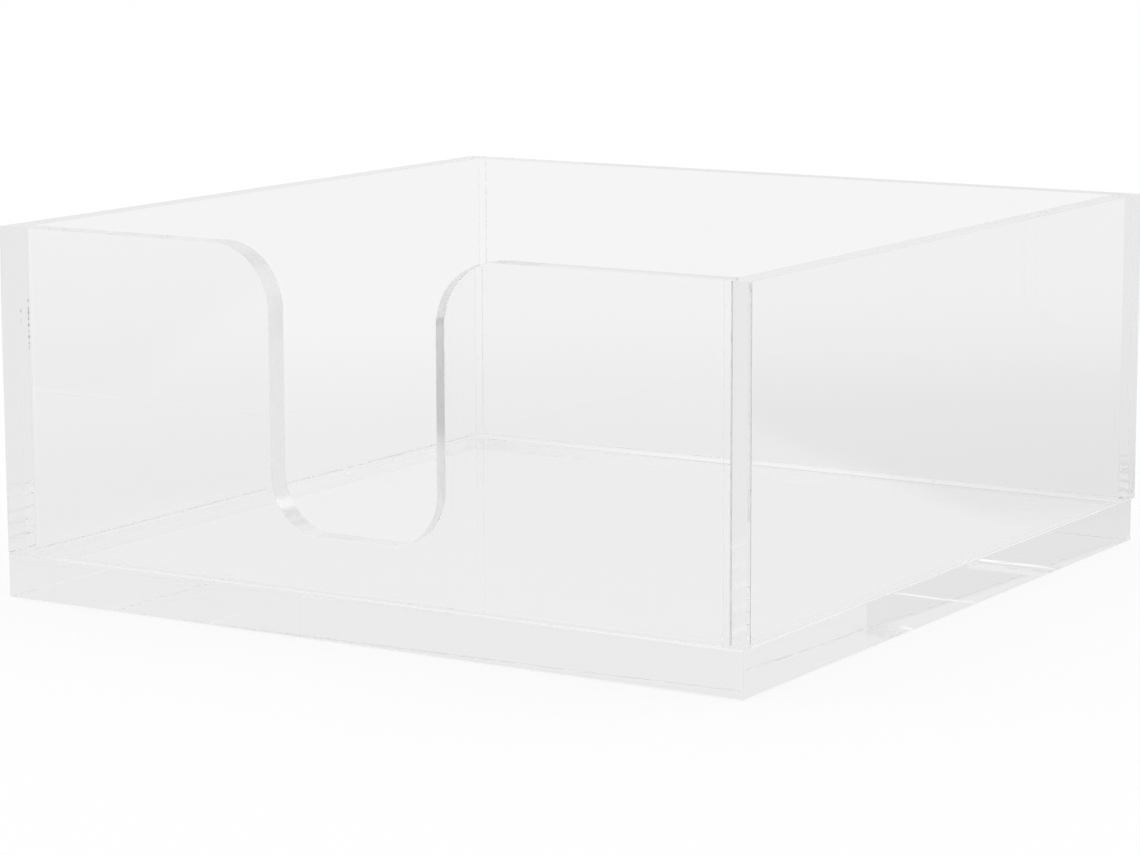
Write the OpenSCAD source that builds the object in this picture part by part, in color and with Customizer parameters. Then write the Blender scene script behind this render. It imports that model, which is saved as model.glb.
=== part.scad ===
// Open tray for a stack of folded paper napkins, made of clear acrylic sheet.
// A thick slab carries four upright walls. The side walls run the full depth, the front and back
// walls stand between them, and a thin film of clear cement fills every joint.
// A rounded opening in the front wall lets the fingers reach the stack.
// The front faces -Y, up is +Z, and the origin is on the table at the centre of the footprint.
// Lengths are in millimetres.

/* [Tray] */
// Outer width across both side walls
outer_width = 178; // [150:1:220]
// Outer depth from the front face to the back face
outer_depth = 178; // [150:1:220]

/* [Base slab] */
// Thickness of the slab
slab_thickness = 9.4; // [6:0.1:14]
// Ledge by which the right wall stands out past the slab
right_ledge = 0.75; // [0:0.05:2]
// Bevel on the slab's lower edges and upright edges
slab_bevel = 0.4; // [0.1:0.05:1]

/* [Walls] */
// Height of the walls from their foot to the rim
wall_height = 69; // [50:1:90]
// Thickness of the wall sheet
wall_thickness = 5; // [4:0.1:8]
// Bevel on the rim and on the side walls' outer upright edges
wall_bevel = 0.3; // [0.1:0.05:0.8]

/* [Finger opening] */
// Width between the straight sides of the opening
opening_width = 40; // [25:1:70]
// Height of the opening's lower edge above the foot of the wall
sill_height = 11.6; // [5:0.1:20]
// Radius of the convex corners where the opening meets the rim
rim_radius = 13.5; // [4:0.5:15]
// Radius of the concave corners at the opening's lower edge
sill_radius = 11.5; // [4:0.5:15]

/* [Cement] */
// Thickness of the cement film in every joint
film_thickness = 0.1; // [0.05:0.01:0.3]

/* [Hidden] */
// Sides of a full circle
$fn = 96;
// Run of each corner web past the two edges that it joins
web_overrun = 1;
// Height of the walls' foot above the table
wall_foot = slab_thickness + film_thickness;
// Width of the slab, short of the right wall's outer face by the ledge
slab_width = outer_width - right_ledge;
// Distance of the slab's middle from the tray's middle
slab_shift = right_ledge / 2;
// Distance of each side wall's middle plane from the tray's middle
side_wall_x = (outer_width - wall_thickness) / 2;
// Distance of the front and back walls' middle planes from the tray's middle
end_wall_y = (outer_depth - wall_thickness) / 2;
// Clear width between the side walls
inner_width = outer_width - 2 * wall_thickness;
// Length of the front and back walls between their corner films
end_wall_length = inner_width - 2 * film_thickness;
// Distance of each corner film's middle plane from the tray's middle
corner_film_x = (inner_width - film_thickness) / 2;
// Radius at the sill, limited to half of the opening's width
sill_corner = min(sill_radius, opening_width / 2);
// Tint of the clear sheet
sheet_tint = [0.86, 0.92, 0.94, 0.45];
// Tint of the clear cement
cement_tint = [0.95, 0.97, 0.98, 0.6];

// Extrudes a profile of width and height along the depth, evenly to the front and the back
module along_depth(length) {
    translate([0, length / 2, 0])
        rotate([90, 0, 0])
            linear_extrude(length)
                children();
}

// Extrudes a profile of depth and height along the width, evenly to the left and the right
module along_width(length) {
    translate([-length / 2, 0, 0])
        rotate([90, 0, 90])
            linear_extrude(length)
                children();
}

// Draws an outline and its mirror image on the other side of the middle
module both_sides() {
    children();
    mirror([1, 0])
        children();
}

// Rectangle standing on the first axis, with its two lower corners bevelled
module foot_bevelled(width, height, bevel) {
    half = width / 2;
    polygon([
        [bevel - half, 0],
        [half - bevel, 0],
        [half, bevel],
        [half, height],
        [-half, height],
        [-half, bevel]
    ]);
}

// Rectangle standing on the first axis, with its two upper corners bevelled
module rim_bevelled(width, height, bevel) {
    translate([0, height])
        mirror([0, 1])
            foot_bevelled(width, height, bevel);
}

// Web between a square corner at the origin and the arc that rounds it
module corner_web(radius) {
    difference() {
        translate([-web_overrun, -web_overrun])
            square(radius + web_overrun);
        translate([radius, radius])
            circle(radius);
    }
}

// Footprint of the slab, flush with the walls on three sides and set in under the right wall
module slab_plan() {
    translate([-slab_shift, -outer_depth / 2])
        intersection() {
            foot_bevelled(slab_width, outer_depth, slab_bevel);
            rim_bevelled(slab_width, outer_depth, slab_bevel);
        }
}

// Footprint of the right wall, with its two outer corners bevelled
module right_wall_plan() {
    translate([outer_width / 2, 0])
        rotate(90)
            foot_bevelled(outer_depth, wall_thickness, wall_bevel);
}

// Section of every wall across its thickness
module wall_section() {
    rim_bevelled(wall_thickness, wall_height, wall_bevel);
}

// Elevation of the front wall: an opening cut down from the rim, filled in at the sill's corners
// and rounded off where its sides meet the rim
module front_elevation() {
    difference() {
        union() {
            difference() {
                translate([-end_wall_length / 2, 0])
                    square([end_wall_length, wall_height]);
                translate([-opening_width / 2, sill_height])
                    square([opening_width, wall_height]);
            }
            both_sides()
                translate([-opening_width / 2, sill_height])
                    corner_web(sill_corner);
        }
        both_sides()
            translate([opening_width / 2, wall_height])
                mirror([0, 1])
                    corner_web(rim_radius);
    }
}

// Right wall at its place, with bevels round the rim and down both outer edges
module right_panel() {
    translate([0, 0, wall_foot])
        intersection() {
            translate([side_wall_x, 0, 0])
                along_depth(outer_depth)
                    wall_section();
            translate([side_wall_x, 0, 0])
                along_width(wall_thickness)
                    rim_bevelled(outer_depth, wall_height, wall_bevel);
            linear_extrude(wall_height)
                right_wall_plan();
        }
}

// Straight run of the wall section across the width, centred at a place on the walls' foot
module cross_panel(place_x, place_y, length) {
    translate([place_x, place_y, wall_foot])
        along_width(length)
            wall_section();
}

// Cement film in a corner, between the end of a front or back wall and the side wall's inner face
module corner_film(place_x, place_y) {
    color(cement_tint)
        cross_panel(place_x, place_y, film_thickness);
}

// Cement film on top of the slab, where an outline on the slab meets the foot of a wall
module foot_film() {
    color(cement_tint)
        translate([0, 0, slab_thickness])
            linear_extrude(film_thickness)
                intersection() {
                    slab_plan();
                    children();
                }
}

// Cement film under the front or back wall, between the two side walls
module end_foot_film(place_y) {
    foot_film()
        translate([-inner_width / 2, place_y - wall_thickness / 2])
            square([inner_width, wall_thickness]);
}

// Thick slab that the walls stand on, bevelled along its lower and upright edges
module base_slab() {
    color(sheet_tint)
        intersection() {
            translate([-slab_shift, 0, 0])
                along_depth(outer_depth)
                    foot_bevelled(slab_width, slab_thickness, slab_bevel);
            translate([-slab_shift, 0, 0])
                along_width(slab_width)
                    foot_bevelled(outer_depth, slab_thickness, slab_bevel);
            linear_extrude(slab_thickness)
                slab_plan();
        }
}

// Front wall with the finger opening
module front_wall() {
    color(sheet_tint)
        intersection() {
            cross_panel(0, -end_wall_y, end_wall_length);
            translate([0, -end_wall_y, wall_foot])
                along_depth(wall_thickness)
                    front_elevation();
        }
}

// Plain back wall
module back_wall() {
    color(sheet_tint)
        cross_panel(0, end_wall_y, end_wall_length);
}

// Left wall, the mirror image of the right one
module left_wall() {
    color(sheet_tint)
        mirror([1, 0, 0])
            right_panel();
}

// Right wall
module right_wall() {
    color(sheet_tint)
        right_panel();
}

// Corner film at the front left
module front_left_film() {
    corner_film(-corner_film_x, -end_wall_y);
}

// Corner film at the front right
module front_right_film() {
    corner_film(corner_film_x, -end_wall_y);
}

// Corner film at the back left
module back_left_film() {
    corner_film(-corner_film_x, end_wall_y);
}

// Corner film at the back right
module back_right_film() {
    corner_film(corner_film_x, end_wall_y);
}

// Film under the front wall
module front_foot_film() {
    end_foot_film(-end_wall_y);
}

// Film under the back wall
module back_foot_film() {
    end_foot_film(end_wall_y);
}

// Film under the left wall
module left_foot_film() {
    foot_film()
        mirror([1, 0])
            right_wall_plan();
}

// Film under the right wall, narrower than the wall by the ledge
module right_foot_film() {
    foot_film()
        right_wall_plan();
}

base_slab();
front_wall();
back_wall();
left_wall();
right_wall();
front_left_film();
front_right_film();
back_left_film();
back_right_film();
front_foot_film();
back_foot_film();
left_foot_film();
right_foot_film();
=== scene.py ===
"""Looks of a clear acrylic napkin tray: polished sheets, cemented joints and a pale studio stage."""

import math

import bmesh
import bpy
from bpy.props import FloatProperty, FloatVectorProperty, IntProperty, PointerProperty
from mathutils import Matrix, Vector


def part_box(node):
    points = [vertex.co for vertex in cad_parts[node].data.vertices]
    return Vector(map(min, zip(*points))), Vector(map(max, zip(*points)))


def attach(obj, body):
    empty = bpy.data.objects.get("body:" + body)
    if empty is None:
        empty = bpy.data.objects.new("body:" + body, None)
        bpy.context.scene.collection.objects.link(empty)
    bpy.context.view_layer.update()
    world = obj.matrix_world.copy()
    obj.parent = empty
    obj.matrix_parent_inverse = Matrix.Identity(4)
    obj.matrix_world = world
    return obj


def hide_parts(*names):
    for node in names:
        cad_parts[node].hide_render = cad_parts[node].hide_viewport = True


bl_info = {
    "name": "Clear napkin tray",
    "version": (1, 0, 0),
    "blender": (4, 5, 0),
    "location": "View3D > Sidebar > Napkin tray",
    "description": "Builds the looks of a clear acrylic napkin tray around its solids",
    "category": "Object",
}

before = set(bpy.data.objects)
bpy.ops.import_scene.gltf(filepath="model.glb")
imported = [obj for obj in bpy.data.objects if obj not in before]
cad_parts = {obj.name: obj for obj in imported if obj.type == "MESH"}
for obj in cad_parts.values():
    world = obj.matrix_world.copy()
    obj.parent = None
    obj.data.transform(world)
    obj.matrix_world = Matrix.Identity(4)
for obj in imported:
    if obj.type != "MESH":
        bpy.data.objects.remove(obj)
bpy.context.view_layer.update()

SIDE_WALLS = ("left_wall", "right_wall")
END_WALLS = ("front_wall", "back_wall")
CORNER_FILMS = ("front_left_film", "front_right_film", "back_left_film", "back_right_film")
# In the order that a quarter turn to the left about the tray's middle takes each one to the next
FOOT_FILMS = ("front_foot_film", "right_foot_film", "back_foot_film", "left_foot_film")
TOUCH = 1e-6


class SheetSettings(bpy.types.PropertyGroup):
    """Sizes and finish of the acrylic sheets."""

    opening_width: FloatProperty(
        name="Opening width",
        description="Width between the straight sides of the finger opening",
        default=0.040,
        unit="LENGTH",
    )
    sill_height: FloatProperty(
        name="Sill height",
        description="Height of the opening's lower edge above the foot of the wall",
        default=0.0116,
        unit="LENGTH",
    )
    rim_radius: FloatProperty(
        name="Rim radius",
        description="Radius of the convex corners where the opening meets the rim",
        default=0.0135,
        unit="LENGTH",
    )
    sill_radius: FloatProperty(
        name="Sill radius",
        description="Radius of the concave corners at the opening's lower edge",
        default=0.0115,
        unit="LENGTH",
    )
    arc_steps: IntProperty(
        name="Arc steps",
        description="Straight steps in each quarter circle of the opening",
        default=36,
    )
    slab_round: FloatProperty(
        name="Slab round",
        description="Radius of the slab's lower and upright edges",
        default=0.0003,
        unit="LENGTH",
    )
    rim_round: FloatProperty(
        name="Rim round",
        description="Radius of the walls' rim and of the opening's edges",
        default=0.0001,
        unit="LENGTH",
    )
    upright_round: FloatProperty(
        name="Upright round",
        description="Radius of the side walls' outer upright edges",
        default=0.00005,
        unit="LENGTH",
    )
    foot_round: FloatProperty(
        name="Foot round",
        description="Radius of the outer edges along the seam between slab and walls",
        default=0.0002,
        unit="LENGTH",
    )
    ledge_round: FloatProperty(
        name="Ledge round",
        description="Radius of the right wall's lower outer edge, which stands out past the slab",
        default=0.0007,
        unit="LENGTH",
    )
    joint_round: FloatProperty(
        name="Joint round",
        description="Radius of the outer upright edges that meet in a cemented corner",
        default=0.00012,
        unit="LENGTH",
    )
    round_steps: IntProperty(
        name="Round steps",
        description="Faces across each rounded edge",
        default=3,
    )
    wall_tint: FloatVectorProperty(
        name="Wall tint",
        description="Colour that light takes on at each face of a wall",
        default=(0.975, 0.975, 0.975, 1.0),
        size=4,
        subtype="COLOR",
    )
    slab_tint: FloatVectorProperty(
        name="Slab tint",
        description="Colour that light takes on at each face of the base slab",
        default=(0.975, 0.975, 0.975, 1.0),
        size=4,
        subtype="COLOR",
    )
    refraction: FloatProperty(
        name="Refractive index",
        description="Refractive index of the acrylic",
        default=1.49,
    )
    edge_clearness: FloatProperty(
        name="Edge clearness",
        description="Share of light that passes a rim or the opening's edge without being scattered",
        default=0.85,
        subtype="FACTOR",
    )


class CementSettings(bpy.types.PropertyGroup):
    """Beads and trapped air of the cement."""

    foot_leg: FloatProperty(
        name="Foot bead leg",
        description="Reach of the concave cement bead up the left, right and front walls and along the slab",
        default=0.00012,
        unit="LENGTH",
    )
    back_leg: FloatProperty(
        name="Back bead leg",
        description="Reach of the larger cement bead up the back wall and along the slab",
        default=0.0014,
        unit="LENGTH",
    )
    front_corner_leg: FloatProperty(
        name="Front corner bead leg",
        description="Reach of the concave cement bead along both walls of a front corner",
        default=0.0004,
        unit="LENGTH",
    )
    back_corner_leg: FloatProperty(
        name="Back corner bead leg",
        description="Reach of the concave cement bead along both walls of a back corner",
        default=0.0002,
        unit="LENGTH",
    )
    bead_steps: IntProperty(
        name="Bead steps",
        description="Faces across the hollow of a bead",
        default=8,
    )
    bubble_radius: FloatProperty(
        name="Bubble radius",
        description="Radius of the largest trapped bubble",
        default=0.00032,
        unit="LENGTH",
    )
    row_low: FloatProperty(
        name="Row foot",
        description="Height of the lowest bubble in the front left joint's row",
        default=0.0528,
        unit="LENGTH",
    )
    row_high: FloatProperty(
        name="Row top",
        description="Height of the highest bubble in the front left joint's row",
        default=0.0660,
        unit="LENGTH",
    )
    row_count: IntProperty(
        name="Row bubbles",
        description="Bubbles in the front left joint's row",
        default=16,
    )
    edge_low: FloatProperty(
        name="Edge foot",
        description="Height of the lowest bubble at the front left joint's outer edge",
        default=0.0590,
        unit="LENGTH",
    )
    edge_high: FloatProperty(
        name="Edge top",
        description="Height of the highest bubble at the front left joint's outer edge",
        default=0.0625,
        unit="LENGTH",
    )
    edge_count: IntProperty(
        name="Edge bubbles",
        description="Bubbles at the front left joint's outer edge",
        default=4,
    )
    stray_count: IntProperty(
        name="Stray bubbles",
        description="Bubbles spread over each film under a wall",
        default=2,
    )
    seed: IntProperty(
        name="Seed",
        description="Seed of the bubbles' places and sizes",
        default=7,
    )


class StageSettings(bpy.types.PropertyGroup):
    """Camera, floor and studio light."""

    lens: FloatProperty(
        name="Lens",
        description="Focal length of the camera in millimetres",
        default=117.87,
        unit="CAMERA",
    )
    azimuth: FloatProperty(
        name="Azimuth",
        description="Camera's turn to the right of the tray's front",
        default=math.radians(32.063),
        subtype="ANGLE",
    )
    elevation: FloatProperty(
        name="Elevation",
        description="Camera's height above the horizon, as an angle",
        default=math.radians(9.584),
        subtype="ANGLE",
    )
    roll: FloatProperty(
        name="Roll",
        description="Camera's turn about its own axis",
        default=math.radians(-0.184),
        subtype="ANGLE",
    )
    distance: FloatProperty(
        name="Distance",
        description="Camera's distance from its aim",
        default=0.80794,
        unit="LENGTH",
    )
    aim: FloatVectorProperty(
        name="Aim",
        description="Point that the camera looks at",
        default=(-0.00305, -0.0035, 0.03124),
        subtype="TRANSLATION",
    )
    floor_size: FloatProperty(
        name="Floor size",
        description="Side of the floor",
        default=14.0,
        unit="LENGTH",
    )
    floor_gap: FloatProperty(
        name="Floor gap",
        description="Air gap between the floor and the polished underside",
        default=0.0002,
        unit="LENGTH",
    )
    open_tone: FloatProperty(
        name="Open floor tone",
        description="Level of the pale floor away from the tray, as seen through the acrylic",
        default=0.945,
        subtype="FACTOR",
    )
    shadow_tone: FloatProperty(
        name="Shadow tone",
        description="Level of the floor in the soft shade beside the tray, as seen through the acrylic",
        default=0.87,
        subtype="FACTOR",
    )
    under_tone: FloatProperty(
        name="Under tone",
        description="Level of the floor under the slab, as seen through the acrylic",
        default=0.965,
        subtype="FACTOR",
    )
    studio_tone: FloatProperty(
        name="Studio tone",
        description="Level of the soft light all round in mirror images",
        default=0.85,
        subtype="FACTOR",
    )
    top_tone: FloatProperty(
        name="Top tone",
        description="Level of the soft light overhead in mirror images",
        default=1.15,
    )
    back_tone: FloatProperty(
        name="Back tone",
        description="Level of the soft light behind the tray in mirror images",
        default=1.08,
    )
    caught_tone: FloatProperty(
        name="Caught tone",
        description="Level of light that runs along a sheet and is mirrored in it many times",
        default=0.82,
        subtype="FACTOR",
    )
    trapped_tone: FloatProperty(
        name="Trapped tone",
        description="Level of light that is mirrored steeply in a sheet and finds no way out",
        default=0.74,
        subtype="FACTOR",
    )
    # Painted shadow: level of the tray's shadow painted on the floor behind its right side, as seen in mirror
    # images
    cast_shadow_tone: FloatProperty(
        name="Side tone",
        description="Level of the dimmer side of the room in mirror images",
        default=0.59,
        subtype="FACTOR",
    )
    front_tone: FloatProperty(
        name="Front tone",
        description="Level of the unlit part of the room before the tray in mirror images",
        default=0.68,
        subtype="FACTOR",
    )


def add(tree, kind, inputs=None, **settings):
    """Adds a node, sets its properties, and feeds its inputs with values or with other nodes' sockets."""
    made = tree.nodes.new(kind)
    for name, value in settings.items():
        setattr(made, name, value)
    for key, value in (inputs or {}).items():
        if isinstance(value, bpy.types.NodeSocket):
            tree.links.new(value, made.inputs[key])
        else:
            made.inputs[key].default_value = value
    return made


def calculate(tree, operation, *values):
    """Adds a math node and returns its result."""
    return add(tree, "ShaderNodeMath", dict(enumerate(values)), operation=operation).outputs[0]


def vector_calculate(tree, operation, *values):
    """Adds a vector math node and returns the node."""
    return add(tree, "ShaderNodeVectorMath", dict(enumerate(values)), operation=operation)


def ramp(tree, value, start, end, low, high):
    """Maps a value smoothly from one range to another and returns the result."""
    inputs = {"Value": value, "From Min": start, "From Max": end, "To Min": low, "To Max": high}
    return add(tree, "ShaderNodeMapRange", inputs, interpolation_type="SMOOTHSTEP").outputs["Result"]


def blend(tree, share, first, second):
    """Mixes two levels by a share and returns the result."""
    inputs = {"Factor": share, "A": first, "B": second}
    return add(tree, "ShaderNodeMix", inputs, data_type="FLOAT").outputs[0]


def new_material(name):
    """A material with an empty node tree, and that tree."""
    material = bpy.data.materials.new(name)
    material.use_nodes = True
    material.node_tree.nodes.clear()
    return material, material.node_tree


def surface(tree, shader):
    """Ends a material's tree in its surface output."""
    add(tree, "ShaderNodeOutputMaterial", {"Surface": shader.outputs[0]})


def clear_sheet(name, tint, refraction):
    """Polished face of clear cast sheet: a little broad waviness and faint smudges."""
    material, tree = new_material(name)
    place = add(tree, "ShaderNodeTexCoord").outputs["Object"]
    waves = add(tree, "ShaderNodeTexNoise", {"Vector": place, "Scale": 22.0, "Detail": 1.0})
    smudges = add(tree, "ShaderNodeTexNoise", {"Vector": place, "Scale": 60.0, "Detail": 5.0})
    bump = add(
        tree,
        "ShaderNodeBump",
        {"Height": waves.outputs["Fac"], "Strength": 0.05, "Distance": 0.0005},
    )
    shader = add(
        tree,
        "ShaderNodeBsdfPrincipled",
        {
            "Base Color": tint,
            "Roughness": ramp(tree, smudges.outputs["Fac"], 0.5, 0.8, 0.0, 0.02),
            "IOR": refraction,
            "Transmission Weight": 1.0,
            "Normal": bump.outputs["Normal"],
        },
    )
    surface(tree, shader)
    return material


# The opening's left side, which is less finely polished: middle and reach across, foot, and roughness
DULL_MIDDLE = -0.018
DULL_REACH = 0.018
DULL_FOOT = 0.015
DULL_ROUGHNESS = 0.2


def polished_edge(name, tint, refraction, clearness):
    """Cut edge of a sheet: less even than the faces, hazy below a clearness of 1, dull left in the opening."""
    material, tree = new_material(name)
    place = add(tree, "ShaderNodeTexCoord").outputs["Object"]
    parts = add(tree, "ShaderNodeSeparateXYZ", {"Vector": place}).outputs
    dull = calculate(tree, "COMPARE", parts["X"], DULL_MIDDLE, DULL_REACH)
    dull = calculate(tree, "MULTIPLY", dull, calculate(tree, "LESS_THAN", parts["Y"], 0.0))
    dull = calculate(tree, "MULTIPLY", dull, calculate(tree, "GREATER_THAN", parts["Z"], DULL_FOOT))
    dips = add(tree, "ShaderNodeTexNoise", {"Vector": place, "Scale": 90.0, "Detail": 2.0})
    roughness = ramp(tree, dips.outputs["Fac"], 0.4, 0.7, 0.01, 0.06)
    roughness = calculate(tree, "MAXIMUM", roughness, calculate(tree, "MULTIPLY", dull, DULL_ROUGHNESS))
    bump = add(
        tree,
        "ShaderNodeBump",
        {"Height": dips.outputs["Fac"], "Strength": 0.02, "Distance": 0.0005},
    )
    shader = add(
        tree,
        "ShaderNodeBsdfPrincipled",
        {
            "Base Color": tint,
            "Roughness": roughness,
            "IOR": refraction,
            "Transmission Weight": clearness,
            "Normal": bump.outputs["Normal"],
        },
    )
    surface(tree, shader)
    return material


# Heights over which the ridges and the duller polish at the foot of a side wall's ends fade out
RIDGE_FADE = (0.014, 0.030)
FOOT_FADE = (0.016, 0.034)


def sawn_end(name, tint, refraction):
    """Front or back end of a side wall: polished, with shallow saw ridges left near the right wall's foot."""
    material, tree = new_material(name)
    place = add(tree, "ShaderNodeTexCoord").outputs["Object"]
    parts = add(tree, "ShaderNodeSeparateXYZ", {"Vector": place}).outputs
    height = parts["Z"]
    ridges = add(
        tree,
        "ShaderNodeTexWave",
        {"Vector": place, "Scale": 170.0, "Distortion": 2.5, "Detail": 1.0, "Detail Scale": 0.6},
        bands_direction="Z",
    )
    depth = ramp(tree, height, *RIDGE_FADE, 1.0, 0.0)
    depth = calculate(tree, "MULTIPLY", depth, calculate(tree, "GREATER_THAN", parts["X"], 0.0))
    bump = add(
        tree,
        "ShaderNodeBump",
        {
            "Height": calculate(tree, "MULTIPLY", ridges.outputs["Fac"], depth),
            "Strength": 0.006,
            "Distance": 0.00002,
        },
    )
    shader = add(
        tree,
        "ShaderNodeBsdfPrincipled",
        {
            "Base Color": tint,
            "Roughness": ramp(tree, height, *FOOT_FADE, 0.16, 0.01),
            "IOR": refraction,
            "Transmission Weight": 1.0,
            "Normal": bump.outputs["Normal"],
        },
    )
    surface(tree, shader)
    return material


def bonded_face():
    """Face inside a cemented joint, where light passes from one sheet into the next."""
    material, tree = new_material("bonded_face")
    shader = add(tree, "ShaderNodeBsdfPrincipled", {"Base Color": (0.9, 0.9, 0.9, 1.0), "Alpha": 0.0})
    surface(tree, shader)
    return material


def cement_bead(refraction):
    """Hollow face of a cement bead: clear and a little uneven, as it sets."""
    material, tree = new_material("cement_bead")
    place = add(tree, "ShaderNodeTexCoord").outputs["Object"]
    runs = add(tree, "ShaderNodeTexNoise", {"Vector": place, "Scale": 160.0, "Detail": 3.0})
    bump = add(
        tree,
        "ShaderNodeBump",
        {"Height": runs.outputs["Fac"], "Strength": 0.05, "Distance": 0.0004},
    )
    shader = add(
        tree,
        "ShaderNodeBsdfPrincipled",
        {
            "Base Color": (0.99, 0.99, 0.99, 1.0),
            "Roughness": ramp(tree, runs.outputs["Fac"], 0.3, 0.7, 0.04, 0.12),
            "IOR": refraction,
            "Transmission Weight": 1.0,
            "Normal": bump.outputs["Normal"],
        },
    )
    surface(tree, shader)
    return material


def cement_streaks():
    """Broad face of a cement film: clear, with a few dry spots that shine like silver."""
    material, tree = new_material("cement_streaks")
    place = add(tree, "ShaderNodeTexCoord").outputs["Object"]
    noise = add(tree, "ShaderNodeTexNoise", {"Vector": place, "Scale": 300.0, "Detail": 4.0})
    shader = add(
        tree,
        "ShaderNodeBsdfPrincipled",
        {
            "Base Color": (0.92, 0.92, 0.92, 1.0),
            "Metallic": 1.0,
            "Roughness": 0.15,
            "Alpha": ramp(tree, noise.outputs["Fac"], 0.76, 0.80, 0.0, 0.4),
        },
    )
    surface(tree, shader)
    return material


def painted_shade_line():
    """Thin dark line of painted shade on the right front corner's bead, where it meets the front wall."""
    material, tree = new_material("painted_shade_line")
    place = add(tree, "ShaderNodeTexCoord").outputs["Object"]
    noise = add(tree, "ShaderNodeTexNoise", {"Vector": place, "Scale": 250.0, "Detail": 2.0})
    shader = add(
        tree,
        "ShaderNodeBsdfPrincipled",
        {
            "Base Color": (0.05, 0.05, 0.05, 1.0),
            "Roughness": 0.4,
            "Alpha": ramp(tree, noise.outputs["Fac"], 0.3, 0.7, 0.38, 0.46),
        },
    )
    surface(tree, shader)
    return material


def trapped_air():
    """Bubble in the cement, which mirrors light as air does inside acrylic."""
    material, tree = new_material("trapped_air")
    place = add(tree, "ShaderNodeTexCoord").outputs["Object"]
    noise = add(tree, "ShaderNodeTexNoise", {"Vector": place, "Scale": 900.0})
    shader = add(
        tree,
        "ShaderNodeBsdfPrincipled",
        {
            "Base Color": (0.25, 0.25, 0.25, 1.0),
            "Metallic": 1.0,
            "Roughness": ramp(tree, noise.outputs["Fac"], 0.3, 0.7, 0.05, 0.2),
        },
    )
    surface(tree, shader)
    return material


FACE, EDGE, END, BONDED = range(4)


def sheet_materials(kind):
    """Face, cut edge, sawn end and bonded face of the wall or slab sheet, in the order of a piece's slots."""
    settings = bpy.context.scene.tray_sheet
    finish = (getattr(settings, kind + "_tint"), settings.refraction)
    clearness = settings.edge_clearness if kind == "wall" else 1.0
    known = bpy.data.materials
    return (
        known.get(kind + "_face") or clear_sheet(kind + "_face", *finish),
        known.get(kind + "_edge") or polished_edge(kind + "_edge", *finish, clearness),
        known.get(kind + "_end") or sawn_end(kind + "_end", *finish),
        known.get("bonded_face") or bonded_face(),
    )


def prism(outline, low, high, place):
    """A closed body: an outline swept from low to high, each of its points put where place says."""
    body = bmesh.new()
    rings = [[body.verts.new(place(u, v, w)) for u, v in outline] for w in (low, high)]
    for ring in rings:
        body.faces.new(ring)
    for index in range(len(outline)):
        following = (index + 1) % len(outline)
        body.faces.new((rings[0][index], rings[0][following], rings[1][following], rings[1][index]))
    bmesh.ops.recalc_face_normals(body, faces=body.faces)
    return body


def rounded(body, radius_at):
    """Rounds the sharp edges of a body, each by the radius that its middle and run call for."""
    settings = bpy.context.scene.tray_sheet
    largest = max(settings.slab_round, settings.ledge_round)
    weights = body.edges.layers.float.new("bevel_weight_edge")
    for edge in body.edges:
        if edge.calc_face_angle(0.0) > math.radians(45):
            start, end = (vertex.co for vertex in edge.verts)
            edge[weights] = radius_at((start + end) / 2, (end - start).normalized()) / largest
    mesh = bpy.data.meshes.new("sharp")
    body.to_mesh(mesh)
    body.free()
    holder = bpy.data.objects.new("sharp", mesh)
    bpy.context.scene.collection.objects.link(holder)
    bevel = holder.modifiers.new("round", "BEVEL")
    bevel.width = largest
    bevel.segments = settings.round_steps
    bevel.limit_method = "WEIGHT"
    result = bmesh.new()
    result.from_object(holder, bpy.context.evaluated_depsgraph_get())
    bpy.data.objects.remove(holder)
    bpy.data.meshes.remove(mesh)
    return result


def split(body, axis, place):
    """Cuts the faces of a body where they cross a plane, so that the two sides can differ in material."""
    normal = Vector((0.0, 0.0, 0.0))
    normal[axis] = 1.0
    geometry = body.verts[:] + body.edges[:] + body.faces[:]
    bmesh.ops.bisect_plane(body, geom=geometry, plane_co=normal * place, plane_no=normal)


def shade_rounds(mesh):
    """Sets normals so that rounds run into flat faces, which stay flat, and sharp edges stay sharp."""
    least_match = math.cos(math.radians(50))
    flat_weight = 1e6
    around = [[] for _ in mesh.vertices]
    for polygon in mesh.polygons:
        square = max(abs(part) for part in polygon.normal) > 0.99999
        weight = polygon.area * (flat_weight if square else 1.0)
        for index in polygon.vertices:
            around[index].append((polygon.normal.copy(), weight))
    normals = []
    for polygon in mesh.polygons:
        for index in polygon.vertices:
            total = Vector((0.0, 0.0, 0.0))
            for normal, weight in around[index]:
                if normal.dot(polygon.normal) > least_match:
                    total += normal * weight
            normals.append(total.normalized())
    mesh.shade_smooth()
    mesh.normals_split_custom_set(normals)


def finish_piece(node, body, kind, finish_of):
    """Makes an object of a body, with a finish for each face, and puts it in the place of its solid."""
    # A cut that runs along the end of a round leaves points in the same place
    bmesh.ops.remove_doubles(body, verts=body.verts, dist=TOUCH)
    for face in body.faces:
        face.material_index = finish_of(face.calc_center_median(), face.normal)
    mesh = bpy.data.meshes.new(node + "_sheet")
    body.to_mesh(mesh)
    body.free()
    for material in sheet_materials(kind):
        mesh.materials.append(material)
    shade_rounds(mesh)
    piece = bpy.data.objects.new(mesh.name, mesh)
    bpy.context.scene.collection.objects.link(piece)
    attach(piece, "root")
    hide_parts(node)


def rectangle(low_u, low_v, high_u, high_v):
    """Corners of a rectangle."""
    return [(low_u, low_v), (high_u, low_v), (high_u, high_v), (low_u, high_v)]


def arc(centre_u, centre_v, radius, start, end, steps):
    """Points along an arc, with its angles in degrees."""
    angles = [math.radians(start + (end - start) * step / steps) for step in range(steps + 1)]
    return [(centre_u + radius * math.cos(a), centre_v + radius * math.sin(a)) for a in angles]


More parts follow.
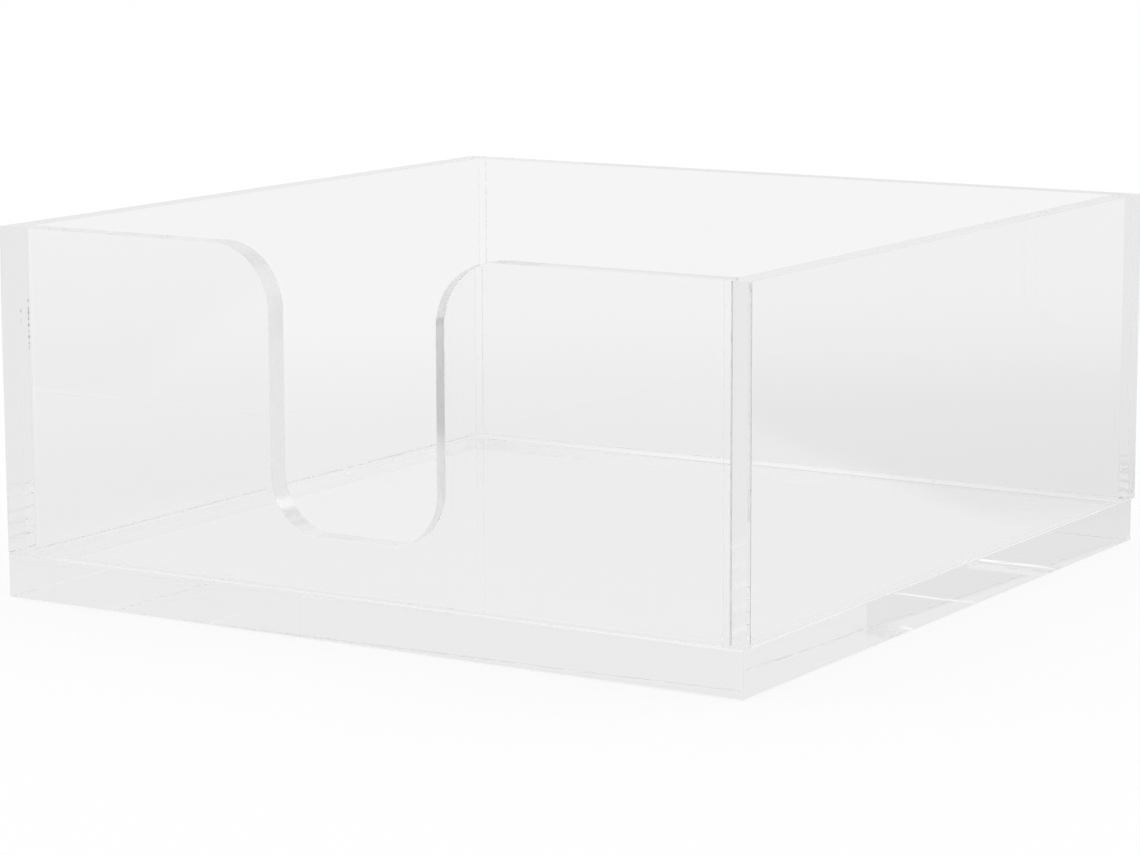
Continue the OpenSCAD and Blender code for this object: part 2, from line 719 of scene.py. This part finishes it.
def front_outline(low_u, foot, high_u, rim):
    """Outline of the front wall with its finger opening, from the foot's left corner round to the rim."""
    settings = bpy.context.scene.tray_sheet
    middle = (low_u + high_u) / 2
    half = settings.opening_width / 2
    top, low = settings.rim_radius, settings.sill_radius
    sill = foot + settings.sill_height
    steps = settings.arc_steps
    return [
        (low_u, foot),
        (high_u, foot),
        (high_u, rim),
        *arc(middle + half + top, rim - top, top, 90, 180, steps),
        *arc(middle + half - low, sill + low, low, 0, -90, steps),
        *arc(middle - half + low, sill + low, low, 270, 180, steps),
        *arc(middle - half - top, rim - top, top, 0, 90, steps),
        (low_u, rim),
    ]


def well_side():
    """Half of the clear width between the walls, which is the same in both directions."""
    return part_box("right_wall")[0].x


def foot_leg(node):
    """Leg of the cement bead along the foot of a wall, or beside its film."""
    cement = bpy.context.scene.tray_cement
    return cement.back_leg if node in ("back_wall", "back_foot_film") else cement.foot_leg


def bead_top(node):
    """Height that the cement bead at the foot of a wall reaches."""
    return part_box("base_slab")[1].z + foot_leg(node)


def corner_leg(side_y):
    """Leg of the cement bead up a corner at the front, or at the back where side_y is above 0."""
    cement = bpy.context.scene.tray_cement
    return cement.back_corner_leg if side_y > 0 else cement.front_corner_leg


def corner_side(side_y):
    """Half of the width between a corner's cement bead and its twin's, at the front or at the back."""
    return well_side() - corner_leg(side_y)


class TRAY_OT_slab(bpy.types.Operator):
    """Make the thick base slab that the walls stand on"""

    bl_idname = "tray.slab"
    bl_label = "Base slab"

    def execute(self, context):
        sheet = context.scene.tray_sheet
        low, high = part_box("base_slab")
        side = well_side() - foot_leg("left_wall")
        back = well_side() - foot_leg("back_wall")

        def radius_at(middle, run):
            return sheet.foot_round if middle.z > high.z - TOUCH else sheet.slab_round

        def finish_of(middle, normal):
            cemented = abs(middle.x) > side or middle.y < -side or middle.y > back
            if normal.z > 0.99 and cemented:
                return BONDED
            return FACE if abs(normal.z) > 0.99 else EDGE

        body = prism(rectangle(low.x, low.y, high.x, high.y), low.z, high.z, lambda u, v, w: (u, v, w))
        body = rounded(body, radius_at)
        for axis, place in ((0, -side), (0, side), (1, -side), (1, back)):
            split(body, axis, place)
        finish_piece("base_slab", body, "slab", finish_of)
        return {"FINISHED"}


class TRAY_OT_side_walls(bpy.types.Operator):
    """Make the left and right walls, which run the full depth"""

    bl_idname = "tray.side_walls"
    bl_label = "Side walls"

    def execute(self, context):
        for node in SIDE_WALLS:
            self.make_wall(context.scene.tray_sheet, node)
        return {"FINISHED"}

    def make_wall(self, sheet, node):
        low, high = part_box(node)
        slab_low, slab_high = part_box("base_slab")
        outward = 1.0 if high.x > 0 else -1.0
        inner_face = well_side()
        slab_side = (slab_high.x if outward > 0 else -slab_low.x) - sheet.foot_round

        def radius_at(middle, run):
            inside = abs(middle.x) < inner_face + TOUCH
            if middle.z > high.z - TOUCH:
                return sheet.rim_round
            if inside:
                return 0.0
            if middle.z < low.z + TOUCH:
                return sheet.ledge_round if middle.x > high.x - TOUCH and outward > 0 else sheet.foot_round
            return sheet.upright_round

        def finish_of(middle, normal):
            if normal.z < -0.99:
                return BONDED if abs(middle.x) < slab_side else EDGE
            if normal.x * outward < -0.99:
                cemented = abs(middle.y) > corner_side(middle.y) or middle.z < bead_top(node)
                return BONDED if cemented else FACE
            if abs(normal.y) > 0.99:
                return END
            clear_ledge = outward > 0 and normal.z < -0.01
            return FACE if abs(normal.x) > 0.99 or clear_ledge else EDGE

        body = prism(rectangle(low.y, low.z, high.y, high.z), low.x, high.x, lambda u, v, w: (w, u, v))
        body = rounded(body, radius_at)
        for place in (-corner_side(-1.0), corner_side(1.0)):
            split(body, 1, place)
        split(body, 0, slab_side * outward)
        split(body, 2, bead_top(node))
        finish_piece(node, body, "wall", finish_of)


class TRAY_OT_end_walls(bpy.types.Operator):
    """Make the front wall with its finger opening, and the plain back wall"""

    bl_idname = "tray.end_walls"
    bl_label = "Front and back walls"

    def execute(self, context):
        for node in END_WALLS:
            self.make_wall(context.scene.tray_sheet, node)
        return {"FINISHED"}

    def make_wall(self, sheet, node):
        low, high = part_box(node)
        inner_face = well_side()
        outward = 1.0 if high.y > 0 else -1.0
        draw = front_outline if node == "front_wall" else rectangle

        def radius_at(middle, run):
            inside = abs(middle.y) < inner_face + TOUCH
            if middle.z < low.z + TOUCH:
                return 0.0 if inside or abs(run.y) > 0.9 else sheet.foot_round
            if abs(middle.x) > high.x - TOUCH and abs(run.z) > 0.9:
                return 0.0 if inside else sheet.joint_round
            return sheet.rim_round

        def finish_of(middle, normal):
            if middle.z < low.z + TOUCH and normal.z < -0.99:
                return BONDED
            if abs(middle.x) > high.x - TOUCH and abs(normal.x) > 0.99:
                return BONDED
            if normal.y * outward < -0.99:
                cemented = abs(middle.x) > corner_side(outward) or middle.z < bead_top(node)
                return BONDED if cemented else FACE
            return FACE if abs(normal.y) > 0.99 else EDGE

        body = prism(draw(low.x, low.z, high.x, high.z), low.y, high.y, lambda u, v, w: (u, w, v))
        body = rounded(body, radius_at)
        for place in (-corner_side(outward), corner_side(outward)):
            split(body, 0, place)
        split(body, 2, bead_top(node))
        finish_piece(node, body, "wall", finish_of)


def bead_section(leg):
    """Section of a cement bead: two legs from the corner, and a hollow arc between their ends."""
    steps = bpy.context.scene.tray_cement.bead_steps
    return [(0.0, 0.0), *arc(leg, leg, leg, 270, 180, steps)]


def foot_bead(node):
    """Bead beside the film under one wall, mitred at both ends, and the test for its open faces."""
    reach = well_side()
    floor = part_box("base_slab")[1].z
    turn = Matrix.Rotation(math.radians(90 * FOOT_FILMS.index(node)), 3, "Z")

    def place(u, v, w):
        return turn @ Vector((w * (reach - u), u - reach, floor + v))

    def is_open(normal):
        return 0.01 < normal.z < 0.999

    return prism(bead_section(foot_leg(node)), -1.0, 1.0, place), is_open


def corner_bead(side_x, side_y):
    """Bead up one inner corner, from the foot beads to the rim, and the test for its open faces."""
    reach = well_side()
    foot = bead_top("back_wall" if side_y > 0 else "front_wall")
    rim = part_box("right_wall")[1].z - bpy.context.scene.tray_sheet.rim_round

    def place(u, v, w):
        return (side_x * (reach - u), side_y * (reach - v), w)

    def is_open(normal):
        return normal.z > 0.99 or abs(normal.z) < 0.01 and max(abs(normal.x), abs(normal.y)) < 0.999

    return prism(bead_section(corner_leg(side_y)), foot, rim, place), is_open


def film_tree():
    """Geometry nodes: a bead joined by a cement strip of a given size and place, with bubbles in it."""
    tree = bpy.data.node_groups.new("cement_film", "GeometryNodeTree")
    sockets = (
        ("Bead", "NodeSocketGeometry"),
        ("Size", "NodeSocketVector"),
        ("Centre", "NodeSocketVector"),
        ("Turn", "NodeSocketRotation"),
        ("Open reach", "NodeSocketFloat"),
        ("Row count", "NodeSocketInt"),
        ("Row start", "NodeSocketVector"),
        ("Row end", "NodeSocketVector"),
        ("Edge count", "NodeSocketInt"),
        ("Edge start", "NodeSocketVector"),
        ("Edge end", "NodeSocketVector"),
        ("Stray count", "NodeSocketInt"),
        ("Bubble radius", "NodeSocketFloat"),
        ("Seed", "NodeSocketInt"),
        ("Cement", "NodeSocketMaterial"),
        ("Edge", "NodeSocketMaterial"),
        ("Bonded", "NodeSocketMaterial"),
        ("Air", "NodeSocketMaterial"),
    )
    for name, kind in sockets:
        tree.interface.new_socket(name, in_out="INPUT", socket_type=kind)
    tree.interface.new_socket("Geometry", in_out="OUTPUT", socket_type="NodeSocketGeometry")
    given = add(tree, "NodeGroupInput").outputs
    strip = add(tree, "GeometryNodeMeshCube", {"Size": given["Size"]})
    edged = add(
        tree,
        "GeometryNodeSetMaterial",
        {"Geometry": strip.outputs["Mesh"], "Material": given["Edge"]},
    )
    normal = add(tree, "GeometryNodeInputNormal").outputs["Normal"]
    upward = add(tree, "ShaderNodeSeparateXYZ", {"Vector": normal}).outputs["Z"]
    broad = calculate(tree, "GREATER_THAN", calculate(tree, "ABSOLUTE", upward), 0.5)
    faced = add(
        tree,
        "GeometryNodeSetMaterial",
        {"Geometry": edged.outputs[0], "Selection": broad, "Material": given["Cement"]},
    )
    moved = add(
        tree,
        "GeometryNodeTransform",
        {"Geometry": faced.outputs[0], "Translation": given["Centre"], "Rotation": given["Turn"]},
    )
    position = add(tree, "GeometryNodeInputPosition").outputs["Position"]
    outward = vector_calculate(tree, "DOT_PRODUCT", normal, position).outputs["Value"]
    reach = calculate(tree, "ABSOLUTE", outward)
    upright_side = calculate(tree, "GREATER_THAN", reach, 0.02)
    short = calculate(tree, "LESS_THAN", reach, given["Open reach"])
    bonded = add(
        tree,
        "GeometryNodeSetMaterial",
        {
            "Geometry": moved.outputs[0],
            "Selection": calculate(tree, "MULTIPLY", upright_side, short),
            "Material": given["Bonded"],
        },
    )
    flat = vector_calculate(tree, "MULTIPLY", given["Size"], (0.45, 0.40, 0.0)).outputs["Vector"]
    away = vector_calculate(tree, "MULTIPLY", flat, (-1.0, -1.0, 0.0)).outputs["Vector"]
    groups = (
        (given["Row count"], given["Row start"], given["Row end"]),
        (given["Edge count"], given["Edge start"], given["Edge end"]),
        (given["Stray count"], away, flat),
    )
    points = add(tree, "GeometryNodeJoinGeometry")
    for count, start, end in groups:
        place = add(
            tree,
            "FunctionNodeRandomValue",
            {"Min": start, "Max": end, "Seed": given["Seed"]},
            data_type="FLOAT_VECTOR",
        )
        group = add(tree, "GeometryNodePoints", {"Count": count, "Position": place.outputs["Value"]})
        tree.links.new(group.outputs[0], points.inputs[0])
    ball = add(tree, "GeometryNodeMeshUVSphere", {"Segments": 8, "Rings": 5, "Radius": 1.0})
    share = add(
        tree,
        "FunctionNodeRandomValue",
        {"Min": 0.3, "Max": 1.0, "Seed": given["Seed"]},
        data_type="FLOAT",
    )
    across = calculate(tree, "MULTIPLY", share.outputs["Value"], given["Bubble radius"])
    thickness = add(tree, "ShaderNodeSeparateXYZ", {"Vector": given["Size"]}).outputs["Z"]
    through = calculate(tree, "MULTIPLY", thickness, 0.45)
    size = add(tree, "ShaderNodeCombineXYZ", {"X": across, "Y": across, "Z": through})
    bubbles = add(
        tree,
        "GeometryNodeInstanceOnPoints",
        {"Points": points.outputs[0], "Instance": ball.outputs["Mesh"], "Scale": size.outputs[0]},
    )
    real = add(tree, "GeometryNodeRealizeInstances", {"Geometry": bubbles.outputs[0]})
    airy = add(tree, "GeometryNodeSetMaterial", {"Geometry": real.outputs[0], "Material": given["Air"]})
    floated = add(
        tree,
        "GeometryNodeTransform",
        {"Geometry": airy.outputs[0], "Translation": given["Centre"], "Rotation": given["Turn"]},
    )
    joined = add(tree, "GeometryNodeJoinGeometry")
    for part in (floated.outputs[0], bonded.outputs[0], given["Bead"]):
        tree.links.new(part, joined.inputs[0])
    add(tree, "NodeGroupOutput", {"Geometry": joined.outputs[0]})
    return tree


class TRAY_OT_films(bpy.types.Operator):
    """Make the cement films and beads in the corners and under the walls, with the air trapped in them"""

    bl_idname = "tray.films"
    bl_label = "Cement films"

    def execute(self, context):
        tree = film_tree()
        sheet = context.scene.tray_sheet
        finishes = {
            "Cement": cement_streaks(),
            "Edge": sheet_materials("wall")[EDGE],
            "Bonded": sheet_materials("wall")[BONDED],
            "Air": trapped_air(),
        }
        bead_finishes = (cement_bead(sheet.refraction), finishes["Bonded"], painted_shade_line())
        for index, node in enumerate(CORNER_FILMS + FOOT_FILMS):
            base = self.bead_mesh(node, bead_finishes)
            values = self.film_values(context.scene, node)
            values["Seed"] = context.scene.tray_cement.seed + index
            self.make_film(context, tree, node, base, {**values, **finishes})
        return {"FINISHED"}

    def bead_mesh(self, node, finishes):
        """Bead beside one film: clear on its open faces and bonded on the others, with a dark line of painted
        shade in one place.
        """
        # The third finish is a dark line of painted shade
        clear, bonded, dry = range(3)
        if node in FOOT_FILMS:
            body, is_open = foot_bead(node)
        else:
            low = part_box(node)[0]
            body, is_open = corner_bead(math.copysign(1.0, low.x), math.copysign(1.0, low.y))
        for face in body.faces:
            face.material_index = clear if is_open(face.normal) else bonded
            # Painted shade: a dark line on the right front bead's face against the front wall
            if node == "front_right_film" and face.normal.y < -0.99:
                face.material_index = dry
        mesh = bpy.data.meshes.new(node + "_bead")
        body.to_mesh(mesh)
        body.free()
        for material in finishes:
            mesh.materials.append(material)
        return mesh

    def film_values(self, scene, node):
        """Size, place and bubbles of one film, drawn back to the root of the groove around it."""
        sheet, cement = scene.tray_sheet, scene.tray_cement
        low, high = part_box(node)
        centre = (low + high) / 2
        upright = node in CORNER_FILMS
        front, back = (sheet.joint_round if side else 0.0 for side in (low.y < 0, low.y > 0))
        if upright:
            low = low + Vector((0.0, front, 0.0))
            high = high - Vector((0.0, back, sheet.rim_round))
        else:
            reach = well_side()
            low = low + Vector((*(sheet.foot_round if side < -reach else 0.0 for side in low.xy), 0.0))
            high = high - Vector((*(sheet.foot_round if side > reach else 0.0 for side in high.xy), 0.0))
        size = high - low
        row = node == "front_left_film"
        inner_edge = size.y / 2 - cement.bubble_radius
        outer_edge = cement.bubble_radius - size.y / 2
        return {
            "Size": Vector((size.z, size.y, size.x)) if upright else size,
            "Centre": (low + high) / 2,
            "Turn": (0.0, math.pi / 2, 0.0) if upright else (0.0, 0.0, 0.0),
            "Open reach": 0.0 if upright else (well_side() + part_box("right_wall")[1].x) / 2,
            "Row count": cement.row_count if row else 0,
            "Row start": (centre.z - cement.row_high, inner_edge, 0.0),
            "Row end": (centre.z - cement.row_low, inner_edge, 0.0),
            "Edge count": cement.edge_count if row else 0,
            "Edge start": (centre.z - cement.edge_high, outer_edge, 0.0),
            "Edge end": (centre.z - cement.edge_low, outer_edge, 0.0),
            "Stray count": 0 if upright else cement.stray_count,
            "Bubble radius": cement.bubble_radius,
        }

    def make_film(self, context, tree, node, base, values):
        """Runs the tree for one film and keeps the result as a plain mesh."""
        identifiers = {item.name: item.identifier for item in tree.interface.items_tree}
        piece = bpy.data.objects.new(node + "_cement", base)
        context.scene.collection.objects.link(piece)
        modifier = piece.modifiers.new("film", "NODES")
        modifier.node_group = tree
        for name, value in values.items():
            modifier[identifiers[name]] = value
        graph = context.evaluated_depsgraph_get()
        mesh = bpy.data.meshes.new_from_object(piece.evaluated_get(graph), depsgraph=graph)
        mesh.name = piece.name
        piece.modifiers.clear()
        piece.data = mesh
        shade_rounds(mesh)
        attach(piece, "root")
        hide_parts(node)


# Directions from the tray to its shadow painted on the floor, to the unlit part of the room before it and to
# the light behind it
CAST_SHADOW_AXIS = (0.643, 0.766, 0.0)
FRONT_AXIS = (-0.23, -0.84, 0.49)
BACK_AXIS = (-0.321, 0.795, 0.515)
# How closely a direction has to follow its axis for the tone to begin and to be full
CAST_SHADOW_SPREAD = (0.966, 0.985)
FRONT_SPREAD = (0.9, 0.985)
BACK_SPREAD = (0.96, 0.99)
# Upward part of a direction over which the light overhead, the caught light and the horizon change
TOP_RISE = (0.80, 0.90)
CAUGHT_RISE = (-0.30, -0.18)
HORIZON_RISE = (-0.02, 0.0)
# Distances from the tray's middle over which the floor's tones change, and what is left of the painted shadow
# far out
UNDER_FADE = (0.09, 0.14)
SHADOW_FADE = (0.13, 0.45)
CAST_SHADOW_RISE = (0.13, 0.19)
CAST_SHADOW_FADE = (0.22, 0.62)
CAST_SHADOW_REST = 0.15
# Share of the floor's white that it keeps in the tray's shadow
FLOOR_GLOW = 0.85


def unmirrored(tree):
    """1 for rays that no surface has mirrored, which see the plain pale set, and 0 for the others."""
    depth = add(tree, "ShaderNodeLightPath").outputs["Glossy Depth"]
    return calculate(tree, "LESS_THAN", depth, 0.5)


def facing(tree, direction, axis, start, end):
    """Share, from 0 to 1, by which a direction points along an axis."""
    unit = vector_calculate(tree, "NORMALIZE", direction).outputs["Vector"]
    along = vector_calculate(tree, "DOT_PRODUCT", unit, axis).outputs["Value"]
    return ramp(tree, along, start, end, 0.0, 1.0)


class TRAY_OT_stage(bpy.types.Operator):
    """Make the pale floor, the soft studio light and the camera"""

    bl_idname = "tray.stage"
    bl_label = "Stage"

    def execute(self, context):
        stage = context.scene.tray_stage
        self.make_world(context.scene, stage)
        self.make_floor(context.scene, stage)
        self.make_camera(context.scene, stage)
        context.scene.view_settings.view_transform = "Standard"
        self.set_bounces(context.scene)
        return {"FINISHED"}

    def set_bounces(self, scene):
        """Follows light far into the sheets, and ends what is still caught in them in the studio's tone."""
        cycles = scene.cycles
        cycles.max_bounces = 40
        cycles.diffuse_bounces = 12
        cycles.glossy_bounces = 32
        cycles.transmission_bounces = 32
        cycles.transparent_max_bounces = 64
        cycles.use_fast_gi = True
        cycles.fast_gi_method = "REPLACE"
        cycles.ao_bounces = 10
        cycles.ao_bounces_render = 10
        # Shorter than any gap in the joints, so that no face nearby darkens that tone
        scene.world.light_settings.distance = 0.00001
        scene.world.light_settings.ao_factor = 1.0

    def make_world(self, scene, stage):
        world = bpy.data.worlds.new("studio")
        world.use_nodes = True
        tree = world.node_tree
        tree.nodes.clear()
        direction = add(tree, "ShaderNodeTexCoord").outputs["Generated"]
        height = add(tree, "ShaderNodeSeparateXYZ", {"Vector": direction}).outputs["Z"]
        front = facing(tree, direction, FRONT_AXIS, *FRONT_SPREAD)
        tone = blend(tree, front, stage.studio_tone, stage.front_tone)
        back = facing(tree, direction, BACK_AXIS, *BACK_SPREAD)
        tone = blend(tree, back, tone, stage.back_tone)
        tone = blend(tree, ramp(tree, height, *TOP_RISE, 0.0, 1.0), tone, stage.top_tone)
        caught = ramp(tree, height, *CAUGHT_RISE, stage.trapped_tone, stage.caught_tone)
        tone = blend(tree, ramp(tree, height, *HORIZON_RISE, 1.0, 0.0), tone, caught)
        level = blend(tree, unmirrored(tree), tone, 1.0)
        white = (1.0, 1.0, 1.0, 1.0)
        background = add(tree, "ShaderNodeBackground", {"Color": white, "Strength": level})
        add(tree, "ShaderNodeOutputWorld", {"Surface": background.outputs[0]})
        scene.world = world

    def make_floor(self, scene, stage):
        material, tree = new_material("pale_floor")
        place = add(tree, "ShaderNodeTexCoord").outputs["Object"]
        distance = vector_calculate(tree, "LENGTH", place).outputs["Value"]
        through = ramp(tree, distance, *SHADOW_FADE, stage.shadow_tone, stage.open_tone)
        through = blend(tree, ramp(tree, distance, *UNDER_FADE, 1.0, 0.0), through, stage.under_tone)
        # Painted shadow of the tray on the floor behind its right side, seen only in mirror images and fading
        # with distance
        cast_shadow = facing(tree, place, CAST_SHADOW_AXIS, *CAST_SHADOW_SPREAD)
        cast_shadow = calculate(tree, "MULTIPLY", cast_shadow, ramp(tree, distance, *CAST_SHADOW_RISE, 0.0, 1.0))
        cast_shadow = calculate(tree, "MULTIPLY", cast_shadow, ramp(tree, distance, *CAST_SHADOW_FADE, 1.0, CAST_SHADOW_REST))
        mirrored = blend(tree, cast_shadow, stage.studio_tone, stage.cast_shadow_tone)
        level = blend(tree, unmirrored(tree), mirrored, through)
        in_sheets = add(tree, "ShaderNodeEmission", {"Strength": level})
        matt = add(tree, "ShaderNodeBsdfDiffuse", {"Color": (0.98, 0.98, 0.98, 1.0)})
        glow = add(tree, "ShaderNodeEmission", {"Color": (1.0, 1.0, 1.0, 1.0)})
        lit = add(tree, "ShaderNodeMixShader", {0: FLOOR_GLOW, 1: matt.outputs[0], 2: glow.outputs[0]})
        direct = add(tree, "ShaderNodeLightPath").outputs["Is Camera Ray"]
        both = add(tree, "ShaderNodeMixShader", {0: direct, 1: in_sheets.outputs[0], 2: lit.outputs[0]})
        surface(tree, both)
        half = stage.floor_size / 2
        mesh = bpy.data.meshes.new("floor")
        corners = [(x, y, -stage.floor_gap) for x, y in rectangle(-half, -half, half, half)]
        mesh.from_pydata(corners, [], [(0, 1, 2, 3)])
        mesh.materials.append(material)
        floor = bpy.data.objects.new("floor", mesh)
        scene.collection.objects.link(floor)

    def make_camera(self, scene, stage):
        data = bpy.data.cameras.new("camera")
        data.lens = stage.lens
        data.sensor_width = 36.0
        data.clip_start = 0.01
        camera = bpy.data.objects.new("camera", data)
        level = math.cos(stage.elevation)
        back = Vector(
            (
                math.sin(stage.azimuth) * level,
                -math.cos(stage.azimuth) * level,
                math.sin(stage.elevation),
            )
        )
        turn = back.to_track_quat("Z", "Y").to_matrix().to_4x4()
        place = Matrix.Translation(Vector(stage.aim) + back * stage.distance)
        camera.matrix_world = place @ turn @ Matrix.Rotation(stage.roll, 4, "Z")
        scene.collection.objects.link(camera)
        scene.camera = camera


class TRAY_PT_sidebar(bpy.types.Panel):
    """Settings and steps of the napkin tray"""

    bl_label = "Napkin tray"
    bl_space_type = "VIEW_3D"
    bl_region_type = "UI"
    bl_category = "Napkin tray"

    def draw(self, context):
        for group in (context.scene.tray_sheet, context.scene.tray_cement, context.scene.tray_stage):
            box = self.layout.box()
            for name in group.__annotations__:
                box.prop(group, name)
        for operator in OPERATORS:
            self.layout.operator(operator.bl_idname)


GROUPS = {"tray_sheet": SheetSettings, "tray_cement": CementSettings, "tray_stage": StageSettings}
OPERATORS = (TRAY_OT_slab, TRAY_OT_side_walls, TRAY_OT_end_walls, TRAY_OT_films, TRAY_OT_stage)
CLASSES = (*GROUPS.values(), *OPERATORS, TRAY_PT_sidebar)


def register():
    for kind in CLASSES:
        bpy.utils.register_class(kind)
    for name, group in GROUPS.items():
        setattr(bpy.types.Scene, name, PointerProperty(type=group))


def unregister():
    for name in GROUPS:
        delattr(bpy.types.Scene, name)
    for kind in reversed(CLASSES):
        bpy.utils.unregister_class(kind)


def main():
    register()
    bpy.ops.tray.slab()
    bpy.ops.tray.side_walls()
    bpy.ops.tray.end_walls()
    bpy.ops.tray.films()
    bpy.ops.tray.stage()


if __name__ == "__main__":
    main()
